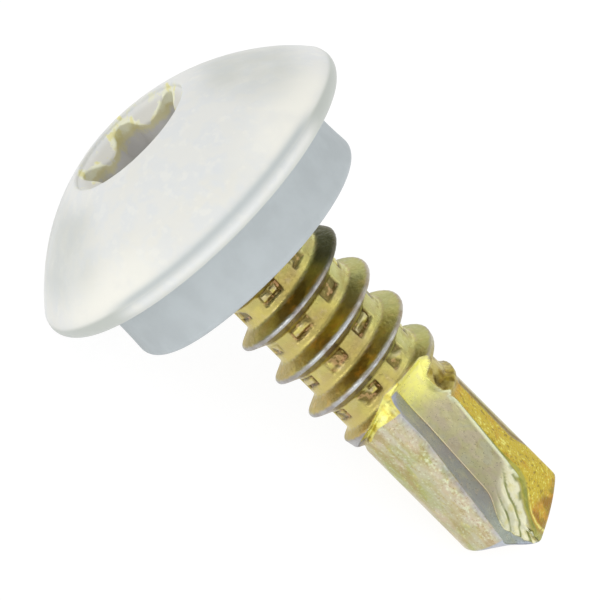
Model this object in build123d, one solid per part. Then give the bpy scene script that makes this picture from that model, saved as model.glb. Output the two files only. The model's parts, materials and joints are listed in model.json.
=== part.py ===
from build123d import *
from math import asin, atan2, ceil, cos, degrees, hypot, radians, sin, sqrt, tan
import os

# A self-drilling screw, ST4.8 x 16, with a domed six-lobe head and a rubber sealing washer.
# It lies as it comes to rest, on the rim of its head and the relief of one cutting edge.
# All sizes are in millimetres.
#
# Screw frame: Z runs up the axis to the head, Z = 0 is the bearing face under the head,
# X is the side that faces up when the screw lies down, and depths count down from Z = 0.

# Head
head_diameter = 12.66
head_height = 3.48
rim_height = 0.65
rim_crease_inset = 0.09  # where the dome meets the rim, inside the widest line
rim_foot_inset = 0.13  # the edge of the flat underside
rim_widest_height = 0.3
under_head_flare = 0.2

# Six-lobe recess, size 25
recess_across_lobes = 4.5
recess_across_flutes = 3.27
recess_lobe_radius = 0.4
recess_depth = 2.2
recess_floor_slope = 20.0
recess_entry_diameter = 4.66  # a countersunk mouth, which cuts back the flanks
recess_entry_depth = 0.42
recess_turn = 0.0  # of the first lobe, from X

# Sealing washer
washer_diameter = 9.5
washer_thickness = 2.4
washer_edge_radius = 0.25
washer_clearance = 0.05
washer_bevel_height = 0.5  # round the bore, at the face that meets the sheet

# Shank and thread
point_depth = 16.62  # from the bearing face to the end of the point
core_diameter = 3.6
thread_diameter = 4.8
thread_pitch = 1.6
thread_root_width = 0.78
thread_crest_width = 0.12
thread_root_overlap = 0.15  # how deep the ridge is rooted in the core
thread_gap = 0.35  # from the washer to the first of the ridge
thread_run_in = 1.25
thread_taper_length = 2.5
thread_phase = 272.25  # angle of the crest at the bearing face, from X

# Drill point
drill_diameter = 3.8
drill_length = 5.82  # full diameter and point
drill_run_in = 0.6  # where the core widens to the drill
drill_blend_radius = 0.3
point_angle = 105.0
shoulder_radius = 0.3
tip_radius = 0.3

# Flutes, two, half a turn apart
flute_mouth_angle = 56.0
flute_root_offset = 0.72  # from the axis to the bottom of the groove
flute_root_lag = 14.0  # the bottom lies this far from the mouth's middle
flute_twist = 4.0  # degrees for each millimetre up
flute_run_out_radius = 2.2
flute_run_out_angle = 55.0
flute_wall_hollow = 0.08
flute_reach = 1.85  # the cutter's walls, as a multiple of the flute's own

# The nip across the top of each flute
nip_radius = 1.2
nip_rise = 0.85  # above the drill's full diameter
nip_floor_offset = 1.62

# The strip sheared beside each cutting edge
strip_turn = 60.0
strip_tilt = 0.6
strip_drop = 0.1

# The relief that ends the strip at the point: the screw comes to rest on one of the two
relief_turn = 37.0
relief_length = 3.0
relief_drop = 0.16

head_radius = head_diameter / 2
core_radius = core_diameter / 2
thread_radius = thread_diameter / 2
drill_radius = drill_diameter / 2
washer_radius = washer_diameter / 2
bore_radius = core_radius + washer_clearance
point_slope = radians(point_angle / 2)
shoulder_depth = point_depth - drill_radius / tan(point_slope)
drill_depth = point_depth - drill_length
relief_depth = point_depth - relief_length
relief_offset = drill_radius - relief_drop
thread_start_depth = washer_thickness + thread_gap


def rz(radius, height):
    """A point of a turned outline."""
    return (radius, 0, height)


def turned(*edges):
    """The solid that an outline sweeps out round the axis."""
    return revolve(make_face(Curve() + list(edges)), Axis.Z)


def polar(radius, angle, height=0.0):
    """A point at an angle from X, in degrees."""
    return (radius * cos(radians(angle)), radius * sin(radians(angle)), height)


def rim_arc():
    """The rounded rim of the head, from the dome's crease to the flat underside."""
    crease = rz(head_radius - rim_crease_inset, rim_height)
    rim_foot = rz(head_radius - rim_foot_inset, 0)
    return ThreePointArc(crease, rz(head_radius, rim_widest_height), rim_foot)


def resting_tilt():
    """Slope of the floor that touches both the rim and, at its own depth, the relief."""
    rim = rim_arc()
    across = rim.arc_center.X - relief_offset
    along = rim.arc_center.Z + relief_depth
    return degrees(atan2(across, along) + asin(rim.radius / hypot(across, along)))


def blank():
    """Dome, rim, neck, core, drill body and point in one turned outline."""
    apex = rz(0, head_height)
    rim = rim_arc()
    dome = TangentArc(apex, rim @ 0, tangent=(1, 0, 0))
    tip_end = rz(0, -point_depth)
    tip_height = tip_radius * (1 - sin(point_slope))
    tip_start = rz(tip_radius * cos(point_slope), tip_height - point_depth)
    neck = Polyline(rim @ 1, rz(core_radius + under_head_flare, 0), rz(core_radius, -under_head_flare))
    corners = [
        rz(core_radius, -under_head_flare),
        rz(core_radius, drill_run_in - drill_depth),
        rz(drill_radius, -drill_depth),
        rz(drill_radius, -shoulder_depth),
        tip_start,
    ]
    shank = FilletPolyline(*corners, radius=[drill_blend_radius, drill_blend_radius, shoulder_radius])
    tip = TangentArc(tip_start, tip_end, tangent=(-sin(point_slope), 0, -cos(point_slope)))
    return turned(dome, rim, neck, shank, tip, Line(tip_end, apex))


def thread_section():
    """Half of the ridge's outline from root to crest, as (radius, half width)."""
    root_half = thread_root_width / 2
    crest_half = thread_crest_width / 2
    spread = (root_half - crest_half) / (thread_radius - core_radius)
    buried = thread_root_overlap
    return [(core_radius - buried, root_half + buried * spread), (thread_radius, crest_half)]


def ridge_turn():
    """One turn of the right-hand ridge: each corner of its section runs along its own helix."""
    half = thread_section()
    corners = half + [(radius, -width) for radius, width in reversed(half)]
    helices = [
        Helix(thread_pitch, thread_pitch, radius, center=(0, 0, width))
        for radius, width in corners
    ]
    flanks = [
        Face.make_surface_from_curves(helices[i - 1], helices[i])
        for i in range(len(helices))
    ]
    ends = [
        Face(Wire.make_polygon([helix @ end for helix in helices], close=True))
        for end in (0, 1)
    ]
    return Rot(0, 0, thread_phase) * Solid(Shell(flanks + ends))


def thread_envelope():
    """The space the ridge stays within: it grows below the washer and ends inside the drill."""
    inside = core_radius - thread_root_overlap
    outline = Polyline(
        rz(0, -thread_start_depth),
        rz(inside, -thread_start_depth),
        rz(thread_radius, -thread_start_depth - thread_run_in),
        rz(thread_radius, thread_taper_length - drill_depth),
        rz(drill_radius, -drill_depth),
        rz(inside, -drill_depth - thread_root_overlap),
        rz(0, -drill_depth - thread_root_overlap),
        close=True,
    )
    return turned(outline)


def recess_outline():
    """Six round lobes joined by six hollow flanks, each arc tangent to the next."""
    lobe_place = recess_across_lobes / 2 - recess_lobe_radius
    neck = recess_across_flutes / 2
    reach = lobe_place * cos(radians(30))
    flank_radius = (lobe_place**2 + neck**2 - 2 * neck * reach - recess_lobe_radius**2) / (
        2 * (recess_lobe_radius - neck + reach)
    )
    flank_place = neck + flank_radius
    share = recess_lobe_radius / (recess_lobe_radius + flank_radius)
    arcs = []
    for lobe in range(6):
        middle = recess_turn + 60 * lobe
        lobe_centre = Vector(*polar(lobe_place, middle))
        before, after = [
            lobe_centre + (Vector(*polar(flank_place, middle + side)) - lobe_centre) * share
            for side in (-30, 30)
        ]
        next_before = before.rotate(Axis.Z, 60)
        arcs.append(ThreePointArc(before, polar(recess_across_lobes / 2, middle), after))
        arcs.append(ThreePointArc(after, polar(neck, middle + 30), next_before))
    return make_face(Curve() + arcs)


def dome_height(radius):
    """Height of the dome, a cap that is level at the axis and ends at the rim's crease."""
    rise = head_height - rim_height
    dome_radius = ((head_radius - rim_crease_inset) ** 2 + rise**2) / (2 * rise)
    return head_height - dome_radius + sqrt(dome_radius**2 - radius**2)


def recess_cutter():
    """The drive recess, down to a shallow cone, with its countersunk mouth."""
    reach = recess_across_lobes / 2
    floor_rim = head_height - recess_depth
    floor_middle = floor_rim - reach * tan(radians(recess_floor_slope))
    room = turned(
        Polyline(
            rz(0, floor_middle),
            rz(reach, floor_rim),
            rz(reach, head_height),
            rz(0, head_height),
            close=True,
        )
    )
    entry_radius = recess_entry_diameter / 2
    mouth = dome_height(entry_radius)
    entry = turned(
        Polyline(
            rz(0, mouth - recess_entry_depth),
            rz(recess_across_flutes / 2, mouth - recess_entry_depth),
            rz(entry_radius, mouth),
            rz(entry_radius, head_height),
            rz(0, head_height),
            close=True,
        )
    )
    return (extrude(recess_outline(), head_height) & room) + entry


def mouth_angle(height):
    """Where the middle of the upper flute lies at a height: square to the floor at the shoulder."""
    return flute_twist * (height + shoulder_depth)


def flute_section(height):
    """Across one flute: a steep wall, the bottom and a hollow wall up to the cutting edge."""
    middle = mouth_angle(height)
    half = flute_mouth_angle / 2
    root = Vector(*polar(flute_root_offset, middle - flute_root_lag, height))
    steep = Vector(*polar(drill_radius, middle - half, height))
    edge = Vector(*polar(drill_radius, middle + half, height))
    steep_end = root + (steep - root) * flute_reach
    edge_end = root + (edge - root) * flute_reach
    across = (edge_end - root).normalized()
    hollow = (root + edge_end) / 2 + across.rotate(Axis.Z, -90) * flute_wall_hollow
    walls = [Line(steep_end, root), ThreePointArc(root, hollow, edge_end)]
    return make_face(Curve() + walls + [Line(edge_end, steep_end)])


def flute_cutters():
    """The twisted groove, its run-out and the nip across its top."""
    bottom = -point_depth - drill_radius
    heights = [bottom, (bottom - drill_depth) / 2, -drill_depth]
    sections = [flute_section(height) for height in heights]
    middle = mouth_angle(-drill_depth)
    hinge = polar(flute_root_offset + flute_run_out_radius, middle, -drill_depth)
    run_out = revolve(sections[-1], Axis(hinge, polar(1, middle + 90)), flute_run_out_angle)
    nip_place = polar(nip_floor_offset + nip_radius, middle, nip_rise - drill_depth)
    nip = Pos(*nip_place) * Rot(0, 0, middle) * Rot(90, 0, 0) * Cylinder(nip_radius, head_radius)
    return [loft(sections), run_out, nip]


def flat_cutter(turn, tilt, drop, height):
    """All that lies outside one plane, which faces turn round the axis and tilts to the point."""
    align = (Align.MIN, Align.CENTER, Align.CENTER)
    block = Box(head_radius, head_radius, point_depth, align=align)
    place = polar(drill_radius - drop, turn, height)
    return Pos(*place) * Rot(0, 0, turn) * Rot(0, tilt, 0) * block


def point_cutters():
    """The sheared strip beside a cutting edge and the relief below it."""
    strip_height = -(drill_depth + relief_depth) / 2
    strip = flat_cutter(strip_turn, strip_tilt, strip_drop, strip_height)
    relief = flat_cutter(relief_turn, resting_tilt(), relief_drop, -relief_depth)
    return [strip, relief]


def screw():
    """Blank, recess, thread and drill point as one formed piece."""
    solid = blank() - recess_cutter()
    envelope = thread_envelope()
    turn = ridge_turn()
    top_turn = int(thread_start_depth / thread_pitch)
    for count in range(top_turn, ceil(drill_depth / thread_pitch) + 1):
        solid = solid + (Pos(0, 0, -count * thread_pitch) * turn & envelope)
    for cutter in flute_cutters() + point_cutters():
        solid = solid - cutter - Rot(0, 0, 180) * cutter
    return solid


def sealing_washer():
    """The rubber ring, bevelled inside at both ends to clear the neck's flare and the thread."""
    seat_bevel = under_head_flare + washer_clearance
    mouth_radius = thread_radius + washer_clearance
    corners = [
        rz(bore_radius + seat_bevel, 0),
        rz(washer_radius, 0),
        rz(washer_radius, -washer_thickness),
        rz(mouth_radius, -washer_thickness),
        rz(bore_radius, washer_bevel_height - washer_thickness),
        rz(bore_radius, -seat_bevel),
    ]
    foot = FilletPolyline(*corners[1:4], radius=washer_edge_radius)
    return turned(Line(*corners[:2]), foot, Polyline(*corners[3:], corners[0]))


def laid_down(parts):
    """The parts turned so that rim and relief lie on the floor, centred over the origin."""
    lying = Rot(0, resting_tilt() - 90, 0) * Rot(0, 0, -relief_turn)
    turned_over = [lying * part for part in parts]
    box = Compound(turned_over).bounding_box()
    middle = box.center()
    return [Pos(-middle.X, -middle.Y, -box.min.Z) * part for part in turned_over]


os.makedirs("parts", exist_ok=True)
nodes = {"screw": screw(), "sealing_washer": sealing_washer()}
for name, part in zip(nodes, laid_down(list(nodes.values()))):
    export_step(part, f"parts/{name}.step")
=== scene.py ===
import json

import bpy
import numpy as np
from bpy.props import FloatProperty, FloatVectorProperty, IntProperty, PointerProperty
from mathutils import Matrix, Vector


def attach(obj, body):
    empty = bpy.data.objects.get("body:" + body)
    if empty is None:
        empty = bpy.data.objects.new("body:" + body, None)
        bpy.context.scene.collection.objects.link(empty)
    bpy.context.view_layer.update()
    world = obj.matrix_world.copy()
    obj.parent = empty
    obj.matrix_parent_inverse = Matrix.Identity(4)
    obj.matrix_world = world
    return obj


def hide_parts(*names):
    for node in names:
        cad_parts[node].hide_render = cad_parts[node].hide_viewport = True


bl_info = {
    "name": "Self-drilling screw",
    "version": (1, 0, 0),
    "blender": (4, 5, 0),
    "location": "3D View > Sidebar > Screw",
    "description": "Painted head, rolled thread, pinched drill point and rubber sealing washer",
    "category": "Add Mesh",
}

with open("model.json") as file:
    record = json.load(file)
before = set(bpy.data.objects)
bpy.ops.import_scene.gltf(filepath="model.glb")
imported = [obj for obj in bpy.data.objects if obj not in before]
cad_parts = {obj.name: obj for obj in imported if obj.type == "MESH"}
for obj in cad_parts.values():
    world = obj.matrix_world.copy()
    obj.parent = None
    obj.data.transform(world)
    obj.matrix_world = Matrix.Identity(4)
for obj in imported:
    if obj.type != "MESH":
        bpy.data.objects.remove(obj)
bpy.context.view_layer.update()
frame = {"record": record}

MM = 0.001
TURN = 2 * np.pi

# A distance well outside the screw, where a ray meets no wall.
FAR = 1.0

# How far past a flute's middle its own cutting side reaches, in radians.
BESIDE_FLUTE = 1.6

# Rows of the shank's two pieces, and how far each extra row lies beyond the joint between them.
SHANK_ROWS = 226
BEYOND_JOINT = np.array([0.02, 0.05, 0.08]) * MM


def length(name, millimetres, description):
    """A size in the sidebar, given here in millimetres."""
    return FloatProperty(
        name=name, description=description, default=millimetres * MM, unit="LENGTH", precision=5
    )


def angle(name, degrees, description):
    """An angle in the sidebar, given here in degrees."""
    return FloatProperty(
        name=name, description=description, default=np.radians(degrees), subtype="ANGLE"
    )


def share(name, value, description):
    """A plain number from 0 to 1 in the sidebar."""
    return FloatProperty(name=name, description=description, default=value, min=0.0, max=1.0)


def colour(name, value, description):
    """A finish's colour in the sidebar."""
    return FloatVectorProperty(
        name=name, description=description, default=value, subtype="COLOR", min=0.0, max=1.0
    )


class HeadSizes(bpy.types.PropertyGroup):
    """The domed head and its six-lobe recess."""

    diameter: length("Diameter", 12.648, "Widest line of the rim")
    height: length("Height", 3.452, "From the bearing face to the top of the dome")
    rim_height: length("Rim height", 0.58, "From the bearing face to the crease under the dome")
    crease_inset: length("Crease inset", 0.09, "From the widest line in to the crease")
    foot_inset: length("Foot inset", 0.13, "From the widest line in to the flat underside")
    widest_height: length("Widest height", 0.3, "Height of the rim's widest line")
    crease_depth: length("Crease depth", 0.06, "How far the line under the dome is pressed in")
    crease_width: length("Crease width", 0.2, "How wide that line is")
    crease_dip: length("Crease dip", 0.14, "How much lower the line lies at the sides")
    neck_radius: length("Neck radius", 1.8, "Plain neck inside the washer")
    neck_flare: length("Neck flare", 0.2, "Where the neck widens under the head")
    neck_end: length("Neck end", 1.2, "Depth at which the shank takes over from the neck")
    across_lobes: length("Across lobes", 4.5, "Widest measure of the recess")
    across_flutes: length("Across flutes", 3.27, "Narrowest measure of the recess")
    lobe_radius: length("Lobe radius", 0.4, "Rounding of one lobe")
    recess_depth: length("Recess depth", 2.2, "From the top of the dome to the recess's rim")
    floor_slope: angle("Floor slope", 20.0, "Cone at the bottom of the recess")
    edge_break: length("Edge break", 0.12, "Rounding of the recess's mouth under the paint")
    recess_turn: angle("Recess turn", 0.0, "Angle of the first lobe")
    recess_offset: length("Recess offset", -0.16, "How far the punch struck beside the axis")
    entry_diameter: length("Entry diameter", 4.66, "Where the ridges are chamfered at the mouth")
    entry_depth: length("Entry depth", 0.42, "How far down the chamfer reaches on a ridge")
    ripple: length("Ripple", 0.006, "Unevenness of the painted dome")


class WasherSizes(bpy.types.PropertyGroup):
    """The rubber ring between the head and the sheet."""

    diameter: length("Diameter", 9.5, "Outside")
    thickness: length("Thickness", 2.4, "From the head to the sheet")
    bore: length("Bore", 3.7, "Round the neck")
    mouth: length("Mouth", 4.9, "The bore's bevel at the face that meets the sheet")
    bevel_height: length("Bevel height", 0.5, "Height of that bevel")
    seat_bevel: length("Seat bevel", 0.25, "The bore's bevel under the head")
    top_edge: length("Top edge", 0.1, "Rounding under the head")
    foot_edge: length("Foot edge", 0.27, "Rounding at the sheet")
    squeeze: length("Squeeze", 0.05, "How far the side is drawn in where the ring was moulded")
    sag: length("Sag", 0.2, "How much lower the foot hangs on one side")


class ThreadSizes(bpy.types.PropertyGroup):
    """The rolled right-hand ridge on the core."""

    core_diameter: length("Core diameter", 3.6, "Between the ridges")
    diameter: length("Diameter", 4.8, "Over the crests")
    pitch: length("Pitch", 1.6, "From crest to crest")
    root_width: length("Root width", 0.78, "Width of the ridge on the core")
    crest_width: length("Crest width", 0.12, "Width of the ridge at its crest")
    crest_round: length("Crest rounding", 0.06, "How soft the crest is")
    root_round: length("Root rounding", 0.14, "How soft the ridge's foot is")
    start: length("Start", 2.75, "Depth at which the ridge begins")
    run_in: length("Run-in", 1.25, "Over which the ridge grows to its full height")
    taper: length("Taper", 2.5, "Over which the ridge shrinks into the drill")
    phase: angle("Phase", 272.25, "Angle of the crest at the bearing face")
    marks_in_turn: IntProperty(name="Marks", description="Die marks in each turn", default=7)
    mark_turn: angle("Mark turn", 33.0, "Angle of the first die mark")
    mark_rise: length("Mark rise", 0.1, "From the groove's middle up to a mark")
    mark_length: length("Mark length", 0.86, "Along the groove")
    mark_width: length("Mark width", 0.44, "Across the groove")
    mark_depth: length("Mark depth", 0.08, "How deep a mark is pressed")


class DrillSizes(bpy.types.PropertyGroup):
    """The pinched drill point with its two flutes."""

    diameter: length("Diameter", 3.8, "Over the lands")
    depth: length("Depth", 16.62, "From the bearing face to the end of the point")
    length: length("Length", 5.82, "Full diameter and point")
    run_in: length("Run-in", 0.6, "Over which the core widens to the drill")
    point_angle: angle("Point angle", 105.0, "Between the two sides of the point")
    point_skew: length("Point skew", 0.22, "How much lower one shoulder of the point ends")
    tip_radius: length("Tip radius", 0.16, "Rounding of the very end")
    shoulder_round: length("Shoulder rounding", 0.16, "How soft the shoulder is")
    steep_side: angle("Steep side", 26.0, "From a flute's middle back to its steep edge")
    cutting_side: angle("Cutting side", 28.0, "From a flute's middle on to its cutting edge")
    root_offset: length("Root offset", 0.72, "From the axis to the bottom of a flute")
    root_lag: angle("Root lag", 11.0, "From the flute's middle back to the bottom")
    strip_start: length("Strip start", 10.45, "Depth at which the sheared strip begins")
    twist: angle("Twist", 4.0, "Turn of the flutes for each millimetre up")
    wall_hollow: length("Wall hollow", 0.08, "Hollow of the wall behind the cutting edge")
    run_out: length("Run-out", 2.05, "Length in which a flute grows shallow and ends")
    run_out_narrow: angle("Run-out narrow", 1.0, "How much the steep side closes in by then")
    stub_side: angle("Stub side", 21.0, "From a flute's middle on to what is left of the ridge")
    stub_depth: length("Stub depth", 10.55, "Depth at which that ends")
    land_rise: length("Land rise", 2.05, "How much earlier the land starts beside a flute")
    land_fall: length("Land fall", 0.86, "How much later it starts for each radian away")
    land_ramp: length("Land ramp", 0.78, "Height of the slope at the land's start")
    ramp_fall: length("Ramp fall", 0.95, "How much lower it is for each radian away")
    thin_start: length("Thinning start", 13.8, "Depth at which the web gets thinner")
    thin_end: length("Thinning end", 15.3, "Depth at which it is thinnest")
    thin_turn: angle("Thinning turn", 10.0, "How far the flute's bottom turns back by then")
    thin_lean: angle("Thinning lean", 26.0, "How far it is drawn in under the steep edge as well")
    thin_draw: share("Thinning draw", 0.4, "Rise of the flute's bottom to the axis, per length")
    thin_hollow: length("Thinning hollow", 0.2, "Hollow of the wall by then")
    strip_turn: angle("Strip turn", 60.0, "The way the sheared strip faces")
    strip_tilt: angle("Strip tilt", 0.6, "Slope of the strip")
    strip_drop: length("Strip drop", 0.1, "How far the strip lies inside the diameter")
    relief_turn: angle("Relief turn", 37.0, "The way the relief at the point faces")
    relief_drop: length("Relief drop", 0.162, "How far a relief lies inside at its line")
    relief_tilt: angle("Relief tilt", 18.3, "Slope of the relief that the point rests on")
    relief_length: length("Relief length", 3.0, "From that relief's line to the point's end")
    upper_tilt: angle("Upper relief tilt", 28.8, "Slope of the other relief")
    upper_length: length("Upper relief length", 2.28, "From its line to the point's end")
    wrinkle: length("Wrinkle", 0.036, "Depth of the folds in the metal where the web is thinned")
    wrinkle_width: length("Wrinkle width", 0.3, "From fold to fold")


class Finishes(bpy.types.PropertyGroup):
    """Colours of the paint, of the bare zinc in the recess and of the rubber, some of them laid as
    painted shade and highlight.
    """

    paint: colour("Paint", (0.83, 0.835, 0.80), "Powder coat on the head")
    paint_cream: colour("Paint, cream", (0.84, 0.83, 0.76), "Where the coat is thick")
    # Pale is both a random mottle in the coat and the colour of the painted highlight patches low on the
    # dome.
    pale_and_painted_highlight: colour("Paint, pale", (0.95, 0.94, 0.86), "Where the coat has run together")
    paint_cool: colour("Paint, cool", (0.77, 0.80, 0.82), "Where the coat is thin")
    # Painted shade: the coat darkened where it runs down into the recess's mouth.
    recess_mouth_painted_shade: colour("Paint, warm", (0.64, 0.615, 0.53), "On the chamfered ridges of the recess")
    # Painted shade in the pressed line under the dome.
    crease_painted_shade: colour("Paint, shade", (0.50, 0.545, 0.55), "In the line under the dome")
    # Painted shade on the dome's sides, on the rim where it turns away at the sides and on the rim's
    # lower part.
    painted_shade_grey: colour("Paint, dull", (0.52, 0.55, 0.51), "On the shoulders, the ends and the rim's foot")
    recess_cream: colour("Recess, cream", (0.86, 0.86, 0.66), "Bare zinc in the mouth of the recess")
    recess_tan: colour("Recess, tan", (0.66, 0.60, 0.33), "Bare zinc on the recess's wall")
    # Painted shade: the bare zinc greys with depth down the recess.
    recess_painted_shade_grey: colour("Recess, grey", (0.62, 0.61, 0.60), "Deep in the recess")
    rubber: colour("Rubber", (0.50, 0.545, 0.565), "Moulded ring")


class ZincTones(bpy.types.PropertyGroup):
    """Colours of the passivated zinc, from bare to thickly coated, some of them laid as painted shade,
    shadow, highlight and light by side.
    """

    crest: colour("Crest", (0.55, 0.58, 0.62), "Bare, on the crests")
    cool: colour("Cool", (0.50, 0.56, 0.64), "Thin, on the point's cone")
    # Bluish grey, laid on the flutes' steep walls and on the land beside their edges.
    grey: colour("Grey", (0.33, 0.36, 0.46), "Thin, on rubbed walls")
    sky: colour("Sky", (0.60, 0.60, 0.50), "Bluish")
    # Pale is random grain on the land and wide walls, and painted highlight along the cutting edges and
    # on the land's flecks.
    pale: colour("Pale", (0.80, 0.87, 0.62), "On burnished edges")
    cream: colour("Cream", (0.98, 0.95, 0.66), "On pinched metal")
    # Mint is painted light on the east side of the grooves and flanks.
    mint: colour("Mint", (0.66, 0.68, 0.28), "Greenish and thin")
    # Straw is painted light on the west side of the grooves and flanks.
    straw: colour("Straw", (0.68, 0.56, 0.20), "Yellowish and thin")
    wall: colour("Wall", (0.71, 0.67, 0.36), "Thin, in the flutes")
    tan: colour("Tan", (0.52, 0.45, 0.23), "Even, where nothing else shows")
    olive: colour("Olive", (0.42, 0.43, 0.15), "Greenish")
    rose: colour("Rose", (0.64, 0.53, 0.41), "Pinkish")
    yellow: colour("Yellow", (0.80, 0.72, 0.16), "Where it is bright")
    # Lemon is painted highlight: glints on the sheared flats, on the land's ramps and at the top of the
    # wide walls; also speckled on the lip.
    lemon: colour("Lemon", (0.90, 0.87, 0.23), "On smeared metal")
    gold: colour("Gold", (0.62, 0.48, 0.035), "Thick, on sheared metal")
    amber: colour("Amber", (0.62, 0.30, 0.03), "Thick, at edges")
    # Shelf is painted highlight along the bottom of each groove, above the next ridge, and a plain tone
    # on the ridge's remnant.
    shelf: colour("Shelf", (0.60, 0.52, 0.14), "Above a ridge, and on what is left of it")
    root: colour("Root", (0.38, 0.30, 0.085), "Between the ridges")
    tarnish: colour("Tarnish", (0.40, 0.30, 0.13), "Dull, in blotches")
    # Plum is painted shade under the crests and on their west side, and random blotches on them.
    plum_and_painted_shade: colour("Plum", (0.30, 0.27, 0.27), "Under the crests")
    rust: colour("Rust", (0.46, 0.27, 0.13), "Thick, in the die marks")
    # Brown is painted shade on the ridge's upper flank, and a plain dark tone on the ridge's remnant and
    # on the sheared flats.
    brown: colour("Brown", (0.20, 0.125, 0.015), "Thick, on the ridge's upper flank")
    # Painted shadow behind the cutting edges, and painted shade in the folds at the point.
    heel_painted_shadow: colour("Heel", (0.24, 0.27, 0.05), "Thick, behind the cutting edge")
    # Painted shade in the die marks' frames and pits and in the dent beside the ridge's remnant.
    pit_painted_shade: colour("Pit", (0.09, 0.055, 0.012), "Deep in the die marks")
    # Painted shadow of the washer on the first turn of the ridge.
    painted_washer_shadow: colour("Soot", (0.07, 0.07, 0.035), "Under the washer")


class StageSettings(bpy.types.PropertyGroup):
    """Floor, lamps and camera."""

    sky: share("Sky", 0.6, "Grey of the ceiling")
    camera_distance: length("Camera distance", 520.0, "From the lens to the screw")
    view_width: length("View width", 19.48, "What the picture spans at the screw")
    view_tilt: angle("View tilt", 17.15, "Between the screw's axis and the picture")
    view_along: length("View along", 4.749, "From the bearing face to the picture's middle")
    view_across: length("View across", 0.023, "From the axis to the picture's middle")


# ---------------------------------------------------------------- shapes


def smooth_min(a, b, soft):
    """The lesser of two, rounded over a band: min(a, b) less a quarter of the overlap's square."""
    overlap = np.clip(1 - np.abs(a - b) / soft, 0, 1)
    return np.minimum(a, b) - overlap**2 * soft / 4


def smooth_max(a, b, soft):
    """The greater of two, rounded over a band."""
    return -smooth_min(-a, -b, soft)


def step(low, high, value):
    """0 below low, 1 above high and the smooth cubic 3t^2 - 2t^3 between."""
    t = np.clip((value - low) / (high - low), 0, 1)
    return t * t * (3 - 2 * t)


def window(low, high, soft, value):
    """1 from low to high, fading to 0 over a soft band on each side."""
    return step(low - soft, low + soft, value) * (1 - step(high - soft, high + soft, value))


def step_mm(low, high, value):
    """A step between two bounds in millimetres."""
    return step(low * MM, high * MM, value)


def window_mm(low, high, soft, value):
    """A window whose bounds and soft band are in millimetres."""
    return window(low * MM, high * MM, soft * MM, value)


def wrapped(value, period):
    """The value moved by whole periods to lie round zero."""
    return value - period * np.round(value / period)


def shares(rows):
    """A column of shares from 0 to 1, one to a row."""
    return np.linspace(0, 1, rows)[:, None]


def waves(seed, rough, *axes):
    """Smooth unevenness from -1 to 1: the mean of six plane sine waves with seeded directions."""
    random = np.random.default_rng(seed)
    count, total = 6, 0
    for _ in range(count):
        directions = random.normal(size=len(axes)) * rough
        phase = random.uniform(0, TURN)
        total = total + np.sin(sum(d * a for d, a in zip(directions, axes)) + phase)
    return total / count


def placing():
    """Where the screw lies: its axis and bearing face come from the record's mount, and the
    side that faces up is the relief's."""
    s = bpy.context.scene
    mount = next(m for m in frame["record"]["mounts"] if m["name"] == "bearing_face")
    up_axis = -Vector(mount["axis"]).normalized()
    bearing = Vector(mount["pos_m"]) + up_axis * s.washer_sizes.thickness
    lifted = (Vector((0, 0, 1)) - up_axis * up_axis.z).normalized()
    turn = s.drill_sizes.relief_turn
    side = lifted * np.cos(turn) - up_axis.cross(lifted) * np.sin(turn)
    axes = Matrix((side, up_axis.cross(side), up_axis)).transposed()
    return Matrix.Translation(bearing) @ axes.to_4x4()


def new_piece(name, vertices, faces, masks, node, material, caps=0):
    """A closed mesh in the row frame, which stands for a node and rides on the root. Its last
    faces, the hidden caps, are flat, so that they don't bend the light at the surface's edge."""
    place = np.array(placing())
    mesh = bpy.data.meshes.new(name)
    mesh.from_pydata(vertices @ place[:3, :3].T + place[:3, 3], [], faces)
    mesh.polygons.foreach_set("use_smooth", np.arange(len(faces)) < len(faces) - caps)
    for mask, values in masks.items():
        layer = mesh.attributes.new(mask, "FLOAT", "POINT")
        layer.data.foreach_set("value", values.astype(np.float32))
    mesh.materials.append(material)
    mesh.update()
    piece = bpy.data.objects.new(name, mesh)
    bpy.context.scene.collection.objects.link(piece)
    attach(piece, "root")
    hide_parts(node)


def turned_grid(radius, turn, height):
    """Points of a surface round the axis: x = r cos, y = r sin, z = height, row after row."""
    x, y, z = np.broadcast_arrays(radius * np.cos(turn), radius * np.sin(turn), height)
    return np.stack([x, y, z], axis=-1)


def sheet_faces(rows, columns, close_rows=False):
    """Quads between neighbouring rows, with the last column joined to the first."""
    row = np.arange(rows if close_rows else rows - 1)[:, None]
    column = np.arange(columns)[None, :]
    here, below = row * columns, (row + 1) % rows * columns
    right = (column + 1) % columns
    corners = [here + column, below + column, below + right, here + right]
    return np.stack(np.broadcast_arrays(*corners), axis=-1).reshape(-1, 4)


def capped(grid, masks):
    """A grid of rows as vertices and faces, closed at each end by a smaller row and its middle.
    Gives also the masks for those vertices and the number of faces in the caps, which are last."""
    shrink = 0.97
    middles = grid[[0, -1]].mean(axis=1, keepdims=True)
    smaller = middles + (grid[[0, -1]] - middles) * shrink
    rows, columns = grid.shape[:2]
    vertices = np.vstack([grid.reshape(-1, 3), *smaller, *middles])
    ring = np.arange(columns)
    after = (ring + 1) % columns
    last, small = (rows - 1) * columns, rows * columns
    last_small, middle = small + columns, small + 2 * columns
    caps = [
        (small + ring, ring, after, small + after),
        (last + ring, last_small + ring, last_small + after, last + after),
        (np.full(columns, middle), small + ring, small + after),
        (np.full(columns, middle + 1), last_small + after, last_small + ring),
    ]
    faces = sheet_faces(rows, columns).tolist()
    faces += [face for cap in caps for face in np.stack(cap, axis=-1).tolist()]
    values = {}
    for name, mask in masks.items():
        mask = np.broadcast_to(mask, grid.shape[:2])
        mask = np.vstack([mask, mask[:1], mask[-1:]])
        values[name] = np.append(mask.ravel(), [mask[0].mean(), mask[-1].mean()])
    return vertices, faces, values, 4 * columns


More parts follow.
